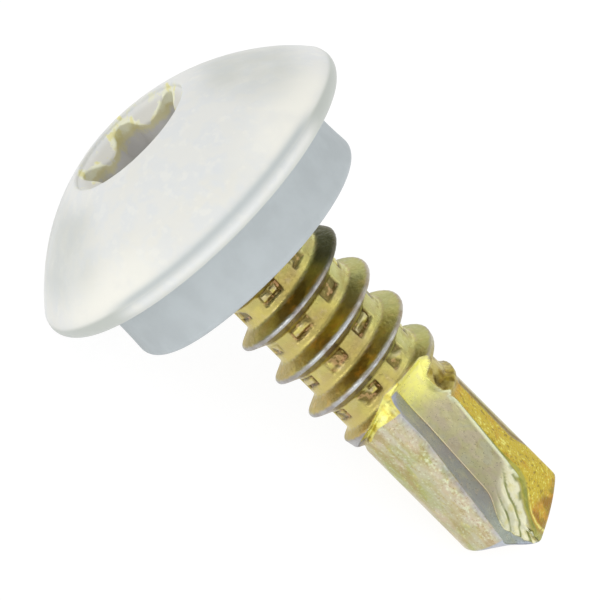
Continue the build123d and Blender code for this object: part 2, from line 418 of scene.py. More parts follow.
def recess_radius(turn):
    """Six lobes joined by six hollow flanks, in polar form. The far crossing of a ray with a
    lobe's circle is c cos a + sqrt(q^2 - c^2 sin^2 a), and the near one with a flank's circle
    has a minus. The two circles touch where the shape goes from one to the other."""
    head = bpy.context.scene.head_sizes
    lobe_radius, sixth = head.lobe_radius, TURN / 6
    lobe, neck = head.across_lobes / 2 - lobe_radius, head.across_flutes / 2
    reach = lobe * np.cos(sixth / 2)
    bulge = lobe**2 + neck**2 - 2 * neck * reach - lobe_radius**2
    flank_radius = bulge / (2 * (lobe_radius - neck + reach))
    flank = neck + flank_radius
    off_lobe = wrapped(turn - head.recess_turn, sixth)
    off_flank = wrapped(turn - head.recess_turn - sixth / 2, sixth)
    lobe_root = np.maximum(lobe_radius**2 - (lobe * np.sin(off_lobe)) ** 2, 0)
    flank_root = np.maximum(flank_radius**2 - (flank * np.sin(off_flank)) ** 2, 0)
    round_part = lobe * np.cos(off_lobe) + np.sqrt(lobe_root)
    hollow_part = flank * np.cos(off_flank) - np.sqrt(flank_root)
    touch = lobe + (flank * np.exp(0.5j * sixth) - lobe) * lobe_radius / (lobe_radius + flank_radius)
    return np.where(np.abs(off_lobe) < np.angle(touch), round_part, hollow_part)


def recess_rows(turn, dome):
    """Radii and heights of the recess's rows, and the height of its mouth. They run up the conical
    floor, up the wall, which is the greater of the lobes and a cone that chamfers the ridges, and
    over the broken edge, where the surface turns onto the dome."""
    head = bpy.context.scene.head_sizes
    lobes, entry = recess_radius(turn), head.entry_diameter / 2
    soft, corner = 0.1 * MM, 0.06 * MM
    floor_rows, wall_rows, edge_rows = 26, 70, 9

    def floor(radius):
        drop = (head.across_lobes / 2 - radius) * np.tan(head.floor_slope)
        return head.height - head.recess_depth - drop

    mouth_radius = smooth_max(lobes, entry, soft)
    mouth = dome(mouth_radius + head.edge_break) - head.edge_break
    floor_radius = shares(floor_rows)[1:] * (lobes - corner)
    foot = floor(lobes) + corner
    wall_height = foot + (mouth - foot) * shares(wall_rows)
    narrowed = (entry - head.across_flutes / 2) / head.entry_depth
    wall_radius = smooth_max(lobes, entry - (mouth - wall_height) * narrowed, soft)
    bend = shares(edge_rows)[1:] * TURN / 4
    edge_radius = mouth_radius + head.edge_break * (1 - np.cos(bend))
    edge_height = mouth + (dome(edge_radius) - mouth) * np.sin(bend)
    radius = np.vstack([floor_radius, wall_radius, edge_radius])
    return radius, np.vstack([floor(floor_radius), wall_height, edge_height]), mouth


def arc_through(a, b, c, part):
    """Points at shares of the arc that runs from a through b to c, as complex numbers. With
    w = (c - a) / (b - a) its centre is a + (b - a) (w - |w|^2) / (2i Im w)."""
    w = (c - a) / (b - a)
    centre = (b - a) * (w - abs(w) ** 2) / (2j * w.imag) + a
    start, end = np.angle(a - centre), np.angle(c - centre)
    return centre + abs(a - centre) * np.exp(1j * (start + (end - start) * part))


def build_head():
    """Rows run out of the recess, down the dome and the rim, in under the head and down the neck.
    The dome is a spherical cap, z = h - R + sqrt(R^2 - r^2), and the rim an arc through three
    points of its outline. The line under the dome is pressed in by a bell curve."""
    head = bpy.context.scene.head_sizes
    columns, cap_rows, rim_rows, flat_rows = 340, 120, 40, 12
    turn = np.linspace(0, TURN, columns, endpoint=False)[None, :]
    at_side = np.abs(np.sin(turn))
    side, kept_inset = at_side**4, 0.3
    crease = head.diameter / 2 - head.crease_inset * (1 - (1 - kept_inset) * side)
    crease_height = head.rim_height - head.crease_dip * side
    rise = head.height - crease_height
    dome_radius = (crease**2 + rise**2) / (2 * rise)

    def dome(radius):
        return head.height - dome_radius + np.sqrt(dome_radius**2 - radius**2)

    recess, recess_height, mouth = recess_rows(turn, dome)
    part = shares(cap_rows)[1:]
    cap = recess[-1:] + (crease - recess[-1:]) * part
    ripple = head.ripple * waves(4, 0.9 / MM, cap * np.cos(turn), cap * np.sin(turn))
    cap_height = dome(cap) + ripple * window(0.05, 0.95, 0.05, part)
    foot = head.diameter / 2 - head.foot_inset
    widest = head.diameter / 2 + 1j * head.widest_height
    rim = arc_through(crease + 1j * crease_height, widest, foot + 0j, shares(rim_rows)[1:])
    part = shares(flat_rows)[1:]
    flared = head.neck_radius + head.neck_flare
    under = foot + (flared - foot) * part + 0 * turn
    neck = head.neck_radius + head.neck_flare * np.maximum(1 - part * 4, 0) + 0 * turn
    radius = np.vstack([recess, cap, rim.real, under, neck])
    down_neck = -head.neck_end * part + 0 * turn
    height = np.vstack([recess_height, cap_height, rim.imag, 0 * under, down_neck])
    off_crease = np.hypot(radius - crease, height - crease_height) / head.crease_width
    faded_at_side = 0.8 * step(0.6, 0.8, at_side)
    pressed = np.exp(-(off_crease**2)) * (1 - faded_at_side)
    radius = radius - head.crease_depth * pressed
    past_recess = np.arange(len(radius))[:, None] - len(recess)
    grid = turned_grid(radius, turn, height)
    shifted_rows = 100
    grid[..., 1] += head.recess_offset * np.clip(1 - past_recess / shifted_rows, 0, 1)
    # Two patches of painted highlight low on the dome, either side of the middle.
    highlight_turn, highlight_width = 0.82, 0.42
    off_highlight = wrapped(turn + highlight_turn, TURN), wrapped(turn - highlight_turn, TURN)
    runs = sum(np.exp(-((off / highlight_width) ** 4)) for off in off_highlight)
    in_mouth = window_mm(-0.1, 0.08, 0.05, mouth - height)
    low_rim = step_mm(0.06, -0.08, height - crease_height) * (radius > crease - 0.3 * MM)
    shoulder = window_mm(3.1, 5.6, 0.6, radius) * (height > crease_height)
    masks = {
        "depth": np.where(past_recess < 0, (mouth - height) / MM, -1),
        "lobe": np.cos(3 * (turn - head.recess_turn)) ** 2,
        "mouth": in_mouth * (radius < head.entry_diameter / 2 + 0.15 * MM),
        "crease": pressed,
        # thick: the painted highlight patches near the crease.
        "thick": runs * step_mm(4.6, 5.9, radius) * (height > crease_height - 0.1 * MM),
        # ends: painted shade on the rim where it turns away at the sides; foot: painted shade, darker
        # towards the bearing face.
        "ends": step(0.6, 0.75, at_side) * low_rim,
        "foot": step_mm(0.3, -0.02, height) * (radius > crease - 1 * MM),
        # shoulder: painted shade on the dome's sides.
        "shoulder": step(0.66, 0.96, at_side) * shoulder,
    }
    vertices, faces, masks, caps = capped(grid, masks)
    new_piece("head", vertices, faces, masks, "screw", head_paint(), caps)


def rounded_outline(corners, spacing):
    """Points of a closed outline, from corners given as x, y, rounding and rows. The arc at a
    corner, which swings by s from p to q, is (sin((1 - t) s) p + sin(t s) q) / sin s round its
    middle, and points a spacing apart join it to the next."""
    places = [np.array(corner[:2]) for corner in corners]
    arcs = []
    for i, (_, _, rounding, rows) in enumerate(corners):
        here, before, after = places[i], places[i - 1], places[(i + 1) % len(corners)]
        back = (before - here) / np.linalg.norm(before - here)
        ahead = (after - here) / np.linalg.norm(after - here)
        half = np.arccos(np.clip(back @ ahead, -1, 1)) / 2
        reach = rounding / np.tan(half)
        middle = here + (back + ahead) / np.linalg.norm(back + ahead) * rounding / np.sin(half)
        first, last = here + back * reach - middle, here + ahead * reach - middle
        swing, t = np.pi - 2 * half, shares(rows)
        arc = (np.sin((1 - t) * swing) * first + np.sin(t * swing) * last) / np.sin(swing)
        arcs.append(middle + arc)
    outline = []
    for arc, following in zip(arcs, arcs[1:] + arcs[:1]):
        gap = following[0] - arc[-1]
        t = shares(2 + int(np.linalg.norm(gap) / spacing))[1:-1]
        outline += [arc, arc[-1] + gap * t]
    return np.vstack(outline)


def build_washer():
    """Rows run round the ring's section. Its side is drawn in by a shallow half sine, and its foot
    hangs lower on one side by the square of a sine, and a little on the other."""
    ring = bpy.context.scene.washer_sizes
    columns, crisp, eased = 360, 0.02 * MM, 0.06 * MM
    turn = np.linspace(0, TURN, columns, endpoint=False)[None, :]
    outer, inner, foot = ring.diameter / 2, ring.bore / 2, -ring.thickness
    section = rounded_outline(
        [
            (inner + ring.seat_bevel, 0, crisp, 4),
            (outer, 0, ring.top_edge, 10),
            (outer, foot, ring.foot_edge, 16),
            (ring.mouth / 2, foot, eased, 8),
            (inner, ring.bevel_height + foot, eased, 8),
            (inner, -ring.seat_bevel, crisp, 4),
        ],
        spacing=0.06 * MM,
    )
    radius, height = section[:, :1], section[:, 1:]
    side = step(outer - 0.3 * MM, outer, radius)
    drawn = ring.squeeze * np.sin(np.clip(height / foot, 0, 1) * np.pi)
    uneven = 0.012 * MM * waves(7, 1.0, np.cos(turn) * 2, height / MM)
    radius = radius - side * drawn + side * uneven
    hang = np.maximum(-np.sin(turn), 0) ** 2 + 0.3 * np.maximum(np.sin(turn), 0) ** 2
    height = height * (1 + ring.sag / ring.thickness * hang)
    grid = turned_grid(radius, turn, height)
    faces = sheet_faces(*grid.shape[:2], close_rows=True).tolist()
    vertices, material = grid.reshape(-1, 3), grey_rubber()
    new_piece("sealing_washer_ring", vertices, faces, {}, "sealing_washer", material)


def shank_turns(near_steep, in_flute, on_land):
    """Angles of a row's points from a flute's middle, with so many beside each steep edge, in the
    rest of each flute and on each land."""
    drill = bpy.context.scene.drill_sizes
    before_steep, after_steep, past_cutting, crowding = 0.1, 0.18, 0.15, 1.2
    low, parted = -drill.steep_side - before_steep, -drill.steep_side + after_steep
    high = drill.cutting_side + past_cutting
    land_part = np.linspace(0, 1, on_land, endpoint=False) ** crowding
    one_side = np.concatenate(
        [
            np.linspace(low, parted, near_steep, endpoint=False),
            np.linspace(parted, high, in_flute, endpoint=False),
            high + (low + np.pi - high) * land_part,
        ]
    )
    return np.append(one_side, one_side + np.pi)


def full_depth():
    """Height of the line below which the drill has its full diameter."""
    drill = bpy.context.scene.drill_sizes
    return drill.length - drill.depth


def flute_middle(height):
    """Where the middle of the first flute lies at a height: it twists evenly from the shoulder
    up to the full diameter's end and then runs straight."""
    drill = bpy.context.scene.drill_sizes
    shoulder = drill.depth - drill.diameter / 2 / np.tan(drill.point_angle / 2)
    return drill.twist / MM * (np.minimum(height, full_depth()) + shoulder)


def from_steep_edge(turn, height):
    """Angle back from the nearer flute's steep edge, over the land, to the next cutting edge. It
    is negative in the part of the flute beside its steep edge."""
    drill = bpy.context.scene.drill_sizes
    inside = 0.35
    return np.mod(flute_middle(height) - drill.steep_side - turn + inside, np.pi) - inside


def ridge(turn, height):
    """The thread's ridge. In a plane through the axis its section is a trapezium,
    r = core + (w - |u|) / s, with u the distance to the crest along the axis. It is kept under an
    envelope: a run-in that starts below the core, the full height, and a taper at the drill."""
    s = bpy.context.scene
    thread, drill = s.thread_sizes, s.drill_sizes
    core, crest, sunk = thread.core_diameter / 2, thread.diameter / 2, 0.15 * MM
    off_crest = wrapped(height - (turn - thread.phase) * thread.pitch / TURN, thread.pitch)
    spread = (thread.root_width - thread.crest_width) / 2 / (crest - core)
    flank = core + (thread.root_width / 2 - np.abs(off_crest)) / spread
    grown = core - sunk + (-height - thread.start) * (crest - core + sunk) / thread.run_in
    over = (height - full_depth()) * (crest - drill.diameter / 2) / thread.taper
    envelope = np.minimum(np.minimum(grown, crest), drill.diameter / 2 + over)
    return smooth_min(flank, envelope, thread.crest_round), envelope, off_crest


def pressed_marks(turn, height, off_crest):
    """Marks of the rolling die in the grooves. Gives where the metal is pressed in, which is a
    box's frame, worn here and there, and pits in it, and where the field inside the frame is."""
    thread = bpy.context.scene.thread_sizes
    core = thread.core_diameter / 2
    step_turn, round_core, soft = TURN / thread.marks_in_turn, turn * core, 0.04 * MM
    across = wrapped(off_crest - thread.pitch / 2, thread.pitch) - thread.mark_rise
    across = across + 0.04 * MM * waves(6, 3.0 / MM, round_core, height)
    along = wrapped(turn - thread.mark_turn, step_turn) * core
    along = along + 0.06 * MM * waves(5, 3.0 / MM, round_core, height)
    number = np.round((turn - thread.mark_turn) / step_turn)
    number = number + thread.marks_in_turn * np.round(height / thread.pitch)
    vary = np.sin(number * 2.4)

    def box(shift, inset):
        half_along = thread.mark_length / 2 * (1 + 0.12 * vary) - inset
        inside_along = half_along - np.abs(along + shift)
        inside_across = thread.mark_width / 2 - inset - np.abs(across - shift)
        return step(-soft, soft, inside_along) * step(-soft, soft, inside_across)

    outer, inner = box(0, 0), box(0.03 * MM, 0.1 * MM)
    pits = step(-0.05, 0.35, waves(8, 4.5 / MM, round_core, height) - 0.3 * vary)
    worn = step(-0.6, 0.0, waves(9, 2.2 / MM, round_core, height) + 0.4 * vary)
    frame_depth, pit_depth = outer * (1 - inner) * worn, 0.75 * outer * pits
    return np.maximum(frame_depth, pit_depth), inner * (1 - pits)


def point_cone(turn, height):
    """Radius of the point's cone: r = sqrt((k z)^2 + 2 R z), with z from the point's end, the
    slope k and the tip's rounding R. Away from the tip it is skewed, so one shoulder is lower."""
    drill = bpy.context.scene.drill_sizes
    even_tip = 0.9 * MM
    end = np.maximum(height + drill.depth, 0)
    skewed = np.maximum(end + drill.point_skew * np.sin(turn), 0)
    away = step(0, even_tip, end)
    cone = np.tan(drill.point_angle / 2) * (skewed * away + end * (1 - away))
    return np.sqrt(cone**2 + 2 * drill.tip_radius * end)


def rolled_blank(turn, height):
    """The shank before its flutes: core, land, ridge and the point's cone, with its masks.

    The land starts on a line that falls back round the shank from each flute's steep edge, and
    beside that edge it flattens the ridge."""
    s = bpy.context.scene
    thread, drill = s.thread_sizes, s.drill_sizes
    core, land, full = thread.core_diameter / 2, drill.diameter / 2, full_depth()
    least_rise, least_ramp, fade, soft = 0.4 * MM, 0.3 * MM, 0.3 * MM, 0.1 * MM
    ridge_end, ridge_drop, flattened_under = full + 0.45 * MM, 0.3 * MM, 0.15 * MM
    behind = from_steep_edge(turn, height)
    start = full + np.maximum(drill.land_rise - drill.land_fall * np.maximum(behind, 0), least_rise)
    ramp = np.maximum(drill.land_ramp - drill.ramp_fall * behind, least_ramp)
    down = start - height
    body = core + (land - core) * step(0, ramp, down)
    ridge_radius, envelope, off_crest = ridge(turn, height)
    ridge_radius = ridge_radius - ridge_drop * step(0, fade, ridge_end - height)
    flattened = (1 - step(0.9, 1.15, behind)) * step(0, soft, down)
    over_body = np.maximum(ridge_radius - body + flattened_under, 0)
    ridge_radius = ridge_radius - over_body * flattened
    radius = smooth_max(body, ridge_radius, thread.root_round)
    in_groove = step_mm(0.05, 0, ridge_radius - core) * step(0, soft, -down)
    rolled = in_groove * window(thread.start * 0.95, 8.9 * MM, 0.2 * MM, -height)
    marks, field = pressed_marks(turn, height, off_crest)
    radius = radius - thread.mark_depth * marks * rolled
    cone = point_cone(turn, height)
    off_cone = radius - cone
    on_cone = step_mm(-0.05, 0.05, off_cone)
    radius = smooth_min(radius, cone, drill.shoulder_round)
    on_ridge = step_mm(0.03, 0.12, radius - body)
    above = step_mm(0.04, 0.12, off_crest) * on_ridge
    grown = (radius - core) / np.maximum(envelope - core, soft)
    east, on_land = np.sin(turn), step_mm(0, 0.6, down)
    masks = {
        # grooves and the marks in them
        "groove": in_groove,
        "marks": marks * rolled,
        "field": field * rolled,
        # shelf: painted highlight along the groove's bottom, above the next ridge.
        "shelf": window_mm(0.34, 0.62, 0.08, off_crest),
        "shade": window_mm(-0.7, -0.3, 0.1, off_crest),
        # the ridge
        "crest": step(0.88, 1.0, grown) * on_ridge,
        # flank: the upper flank, laid with painted shade.
        "flank": above,
        # under: painted shade under the crests.
        "under": step_mm(0.02, 0.1, -off_crest) * on_ridge,
        # Painted shadow of the washer on the ridge's first turn, on the east side.
        "painted_washer_shadow": step_mm(-4.7, -4.2, height) * step(0.35, 0.8, east) * on_ridge,
        # Painted light on the flank's east side.
        "east_flank_painted_light": step(-0.1, 1.2, east) * above,
        "far_east_flank_painted_light": step(0.75, 1.0, east) * above,
        # sides of the shank, by which light and shade are painted on one side or in the middle
        "east": step(0.2, 0.85, east) + 0 * radius,
        "west": step(0.2, 0.85, -east) + 0 * radius,
        "middle": np.exp(-((wrapped(turn, TURN) / 0.32) ** 2)) + 0 * radius,
        # the land, from its start down to the point
        "land": step(0, fade, down),
        "near": window(-0.35, 0.06, 0.12, behind) * step(0, fade, down),
        # ramp: painted highlight on the land's rising start.
        "ramp": window(0, 1.0, 0.06, down / ramp) * (1 - step(0.8, 1.0, behind)),
        "rose": window(-0.2, 0.34, 0.08, behind) * on_land * (1 - on_cone),
        "sky": window(0.34, 0.62, 0.08, behind) * on_land,
        # fleck: painted highlight flecks on the land.
        "fleck": window(0.1, 0.26, 0.06, behind) * step_mm(0, 0.6, full - height),
        "cone": on_cone,
        "brink": step_mm(-0.35, 0.2, off_cone),
    }
    return radius, masks


def thinned(height):
    """0 where the web is whole and 1 where it is thinned at the point."""
    drill = bpy.context.scene.drill_sizes
    return step(drill.thin_start, drill.thin_end, -height)


def leaned(turn, height, radius):
    """Where a point goes when the flute's bottom is drawn in under its steep edge: it turns back
    in proportion to how deep it lies under the land, and not at all on the land itself."""
    drill = bpy.context.scene.drill_sizes
    land, reach = drill.diameter / 2, (-1.1, 0.8, 0.35)
    deep = np.clip((land - radius) / (land - drill.root_offset), 0, 1)
    in_flute = window(*reach, wrapped(turn - flute_middle(height), np.pi))
    return turn - drill.thin_lean * thinned(height) * deep * in_flute


def folds(turn, height, radius):
    """Creases in the pinched metal, from about -1 to 1: sines of the distance across lines that run
    down towards the point, bent by waves, with finer ones between. Gives them with a mask of the
    pinched metal, which starts on a ragged line across the flute."""
    drill = bpy.context.scene.drill_sizes
    slant, finer_by = (0.9, 0.43), 2.3
    across = radius * np.sin(turn) * np.where(np.cos(turn) < 0, -1, 1)
    off = across * slant[0] - height * slant[1]
    off = off + 0.06 * MM * waves(12, 3.0 / MM, across, height)
    off = off + 0.1 * MM * waves(14, 1.3 / MM, across, height)
    phase = TURN * off / drill.wrinkle_width
    lines = np.sin(phase) * (0.7 + 0.5 * waves(15, 2.2 / MM, across * 1.2, height * 0.6))
    finer = np.sin(finer_by * phase) * waves(16, 5.0 / MM, across, height)
    ragged = across - height + 0.15 * MM * waves(13, 6.0 / MM, across, height)
    return lines + 0.7 * finer, step_mm(0.3, 0.85, ragged - drill.thin_start)


def flute_walls(turn, height, side):
    """Where a ray from the axis meets a flute's two walls and its run-out. Gives also how far the
    wide wall's plane lies from the axis, and the cosine between it and the ray.

    In the plane across the axis a wall is the line n.p = d through the flute's bottom and one
    edge of its mouth, met at r = d / (n.u). The bottom rises as the flute runs out, and near the
    point it turns back, which thins the web. The wide wall is hollowed by a parabola along it,
    so where a ray meets it is found in three rounds."""
    drill = bpy.context.scene.drill_sizes
    land, least, most_drawn, easing = drill.diameter / 2, 0.02, 1.4 * MM, 2.2
    just_inside, past_wall, ahead, tiny = 0.985, 1.6, 0.3, 0.01 * MM
    out = np.clip((height - full_depth()) / drill.run_out, 0, 1)
    thin = thinned(height)
    steep_side = drill.steep_side - drill.run_out_narrow * out
    left, right = land * np.exp(-1j * steep_side), land * np.exp(1j * drill.cutting_side)
    drawn = drill.thin_draw * np.clip(-height - drill.thin_end, 0, most_drawn)
    rise = drill.root_offset - drawn + (land - drill.root_offset) * out**easing
    chord = just_inside * land * np.cos(drill.cutting_side)
    root = np.minimum(rise, chord) * np.exp(-1j * (drill.root_lag + drill.thin_turn * thin))
    ray = np.exp(1j * (turn - flute_middle(height) - side))

    def met(normal, distance):
        facing = (ray * np.conj(normal)).real
        return np.where(facing > least, distance / np.maximum(facing, least), FAR)

    steep_normal = 1j * (left - root) / abs(left - root)
    wide_normal = -1j * (right - root) / abs(right - root)
    steep_wall = met(steep_normal, (root * np.conj(steep_normal)).real)
    distance = (root * np.conj(wide_normal)).real
    wide_wall = met(wide_normal, distance)
    hollow = drill.wall_hollow * (1 - out) + drill.thin_hollow * thin
    for _ in range(3):
        run = (wide_wall * ray - root) * np.conj(1j * wide_normal)
        run = np.clip(run.real / abs(right - root), 0, past_wall)
        wide_wall = met(wide_normal, distance - hollow * np.clip(4 * run * (1 - run), 0, 1))
    flat = np.where(rise > chord, rise, tiny) / np.maximum(ray.real, ahead)
    wide_wall = np.maximum(wide_wall, np.where(ray.real > ahead, flat, 0))
    return steep_wall, wide_wall, distance, (ray * np.conj(wide_normal)).real


def flats(turn, height, side):
    """The sheared strip behind a cutting edge, and the relief at the point. Each is a plane that
    leans in towards the point, r = (offset - lean) / cos. The two reliefs differ a little."""
    drill = bpy.context.scene.drill_sizes
    least, past_start, well_past = 0.2, 0.15 * MM, 1 * MM

    def plane(facing, drop, depth, tilt):
        offset = drill.diameter / 2 - drop - (-height - depth) * np.tan(tilt)
        across = np.cos(turn - side - facing)
        return np.where(across > least, offset / np.maximum(across, least), FAR)

    resting = drill.relief_length, drill.relief_tilt
    run, tilt = resting if side else (drill.upper_length, drill.upper_tilt)
    strip_middle = (drill.depth - drill.length + drill.depth - drill.relief_length) / 2
    strip = plane(drill.strip_turn, drill.strip_drop, strip_middle, drill.strip_tilt)
    above = 1 - step(0, 2 * past_start, -height - drill.strip_start + past_start)
    relief = plane(drill.relief_turn, drill.relief_drop, drill.depth - run, tilt)
    return strip + above * well_past, np.where(height < full_depth() - well_past, relief, FAR)


def ridge_remnant(past, height):
    """What is left of the ridge on a flute's cutting side, from 0 to 1, and the dent beside it. It
    starts past its side's angle, and its end is rounded off by a parabola, so it is a knob."""
    drill = bpy.context.scene.drill_sizes
    round_height, round_turn, side_turn = 0.55 * MM, 0.4, 0.14
    dent_turns, dent_heights = (0.5, 0.72, 0.12), (-10.2, -9.75, 0.2)
    up = height + drill.stub_depth
    side = drill.stub_side + 0.1 * step_mm(0.7, 1.8, up)
    from_end = 1 - np.clip((past - drill.stub_side) / round_turn, 0, 1)
    knob = step_mm(0, 0.3, up - round_height * from_end**2) * step(side, side + side_turn, past)
    dent = window(*dent_turns, past) * window_mm(*dent_heights, height)
    return knob * (past < BESIDE_FLUTE), dent


def flute_cut(blank, turn, turned, height, side):
    """One flute and the flats behind its cutting edge. Gives the blank as the flats leave it, the
    flute, which is the greater of its walls, how far it is the steep one, and masks."""
    drill = bpy.context.scene.drill_sizes
    full = full_depth()
    steep_wall, wide_wall, plane_distance, plane_cosine = flute_walls(turn, height, side)
    lines, pinched = folds(turned - side, height, wide_wall)
    wide_wall = wide_wall + drill.wrinkle * lines * pinched
    past = wrapped(turn - flute_middle(height) - side, TURN)
    knob, dent = ridge_remnant(past, height)
    knob_height, dent_depth, strip_round = 0.7 * MM, 0.16 * MM, 0.04 * MM
    flute = smooth_max(steep_wall, wide_wall, 0.1 * MM) + knob_height * knob
    flute = np.where(height < full + drill.run_out, flute, FAR)
    strip, relief = flats(turned, height, side)
    relief_round = 0.06 * MM if side else 0.22 * MM
    cut = smooth_min(smooth_min(blank, strip, strip_round), relief, relief_round)
    cut = cut - dent_depth * dent
    in_flute = step_mm(-0.02, 0.03, cut - flute)
    on_steep = step_mm(-0.02, 0.04, steep_wall - wide_wall)
    wide = in_flute * (1 - on_steep)
    in_front = (past > 0) & (past < BESIDE_FLUTE)
    behind_edge = (1 - in_flute) * in_front * step_mm(0, 0.25, -height - drill.strip_start)
    edge_width = 0.05 * MM + 0.09 * MM * step_mm(-1.2, 0, height - full)
    at_edge = window(-0.015 * MM, edge_width, 0.02 * MM, cut - flute) * in_front
    from_edge = plane_distance - cut * plane_cosine
    heel_depths, lip_depths, gold_depths = (12.6, 14.9), (14.3, 15.2), (13.0, 15.2)
    heel_painted_shadow = 0.02 * MM + 0.34 * MM * step_mm(*heel_depths, -height)
    lip = window_mm(0.02, 0.06, 0.03, from_edge - heel_painted_shadow)
    facing = wrapped(turned - side, TURN)
    gold_end = 1.26 + 0.5 * step_mm(*gold_depths, -height)
    masks = {
        "steep": in_flute * on_steep,
        "wide": wide,
        "thin": wide * pinched,
        # fold: painted shade in the folds' troughs.
        "fold_painted_shade": wide * pinched * np.clip(-3.5 * lines - 1.0, 0, 1),
        # root: painted highlight along the flute's bottom, speckled pink.
        "root": in_flute * window_mm(-0.12, 0, 0.05, steep_wall - wide_wall),
        # top: painted highlight at the top of the wide wall.
        "top": wide * step_mm(-0.1, 1.4, height - full),
        # edge: painted highlight along the cutting edge.
        "edge": at_edge * step_mm(0, 1.2, full + 1.2 * MM - height),
        "gold": behind_edge * (1 - step(gold_end - 0.02, gold_end + 0.02, facing)),
        "rim": behind_edge * window(gold_end, gold_end + 0.1, 0.03, facing),
        # heel: painted shadow behind the cutting edge.
        "heel_painted_shadow": behind_edge * (1 - step(heel_painted_shadow * 0.75, heel_painted_shadow + 0.04 * MM, from_edge)),
        "lip": behind_edge * lip * step_mm(*lip_depths, -height),
        "dent": dent,
    }
    return cut, flute, on_steep, masks


def shank(turn, height):
    """The shank's surface in the turns and heights of a grid: the lesser of the blank, as the flats
    leave it, and each flute. Near the point the surface leans, so its distance from the axis and
    its turn are found in four rounds. Gives both, and masks for its finish."""
    drill = bpy.context.scene.drill_sizes
    turned = turn + 0 * height
    for _ in range(4):
        blank, masks = rolled_blank(turned, height)
        radius = blank
        for side in (0, np.pi):
            cut, flute, on_steep, side_masks = flute_cut(blank, turn, turned, height, side)
            edge_round = (0.03 + 0.17 * on_steep) * MM
            radius = smooth_min(np.minimum(radius, cut), flute, edge_round)
            for name, mask in side_masks.items():
                masks[name] = masks.get(name, 0) + mask
        turned = leaned(turn, height, radius)
    uncut = 1 - np.clip(masks["steep"] + masks["wide"], 0, 1)
    for name in ("crest", "flank", "under", "ramp", "near", "rose", "sky", "fleck", "land"):
        masks[name] = masks[name] * uncut
    past_start, knob_depths = -height - drill.strip_start, (8.7, 9.2)
    knob = step_mm(*knob_depths, -height) * (1 - step_mm(0, 0.25, past_start))
    masks["stub"] = knob * step(0.3, 0.7, np.sin(turn)) * uncut
    masks["low"] = thinned(height)
    masks["tinge"] = 1 - step_mm(0.1, 0.6, past_start)
    return np.maximum(radius, 0), turned, {name: np.clip(m, 0, 1) for name, m in masks.items()}


def shank_piece(name, turns, height, beyond):
    """A stretch of the shank. Past its joint it sinks under the next one by a smooth step, so that
    no line shows between them."""
    sunk, turns, height = 0.02 * MM, turns[None, :], height[:, None]
    radius, turn, masks = shank(turns + flute_middle(height), height)
    radius = radius - sunk * step(0, BEYOND_JOINT[-1], beyond[:, None])
    vertices, faces, masks, caps = capped(turned_grid(radius, turn, height), masks)
    new_piece(name, vertices, faces, masks, "screw", zinc_steel(), caps)


def build_thread():
    """The shank from the neck to the drill's full diameter, on a grid of turns and depths, with a
    few more rows that sink under the drill."""
    full = full_depth()
    height = np.linspace(-bpy.context.scene.head_sizes.neck_end, full, SHANK_ROWS)
    height = np.append(height, full - BEYOND_JOINT)
    turns = shank_turns(near_steep=32, in_flute=78, on_land=100)
    shank_piece("thread", turns, height, full - height)


def build_drill_point():
    """The drill and its point, with a few more rows that sink under the thread. The grid's columns
    twist with the flutes, and its rows crowd together towards the tip, where the surface turns in."""
    full, crowding = full_depth(), 1.3
    part = 1 - (1 - np.linspace(0, 1, SHANK_ROWS)) ** crowding
    height = full - bpy.context.scene.drill_sizes.length * part
    height = np.append(full + BEYOND_JOINT[::-1], height)
    turns = shank_turns(near_steep=80, in_flute=66, on_land=64)
    shank_piece("drill_point", turns, height, height - full)


# ---------------------------------------------------------------- finishes


class Value:
    """A number that varies over a surface. Arithmetic on it adds Math nodes."""

    def __init__(self, finish, socket):
        self.finish, self.socket = finish, socket

    def __add__(self, other):
        return self.finish.maths("ADD", self, other)

    def __sub__(self, other):
        return self.finish.maths("SUBTRACT", self, other)

    def __rsub__(self, other):
        return self.finish.maths("SUBTRACT", other, self)

    def __mul__(self, other):
        return self.finish.maths("MULTIPLY", self, other)

    __radd__ = __add__
    __rmul__ = __mul__


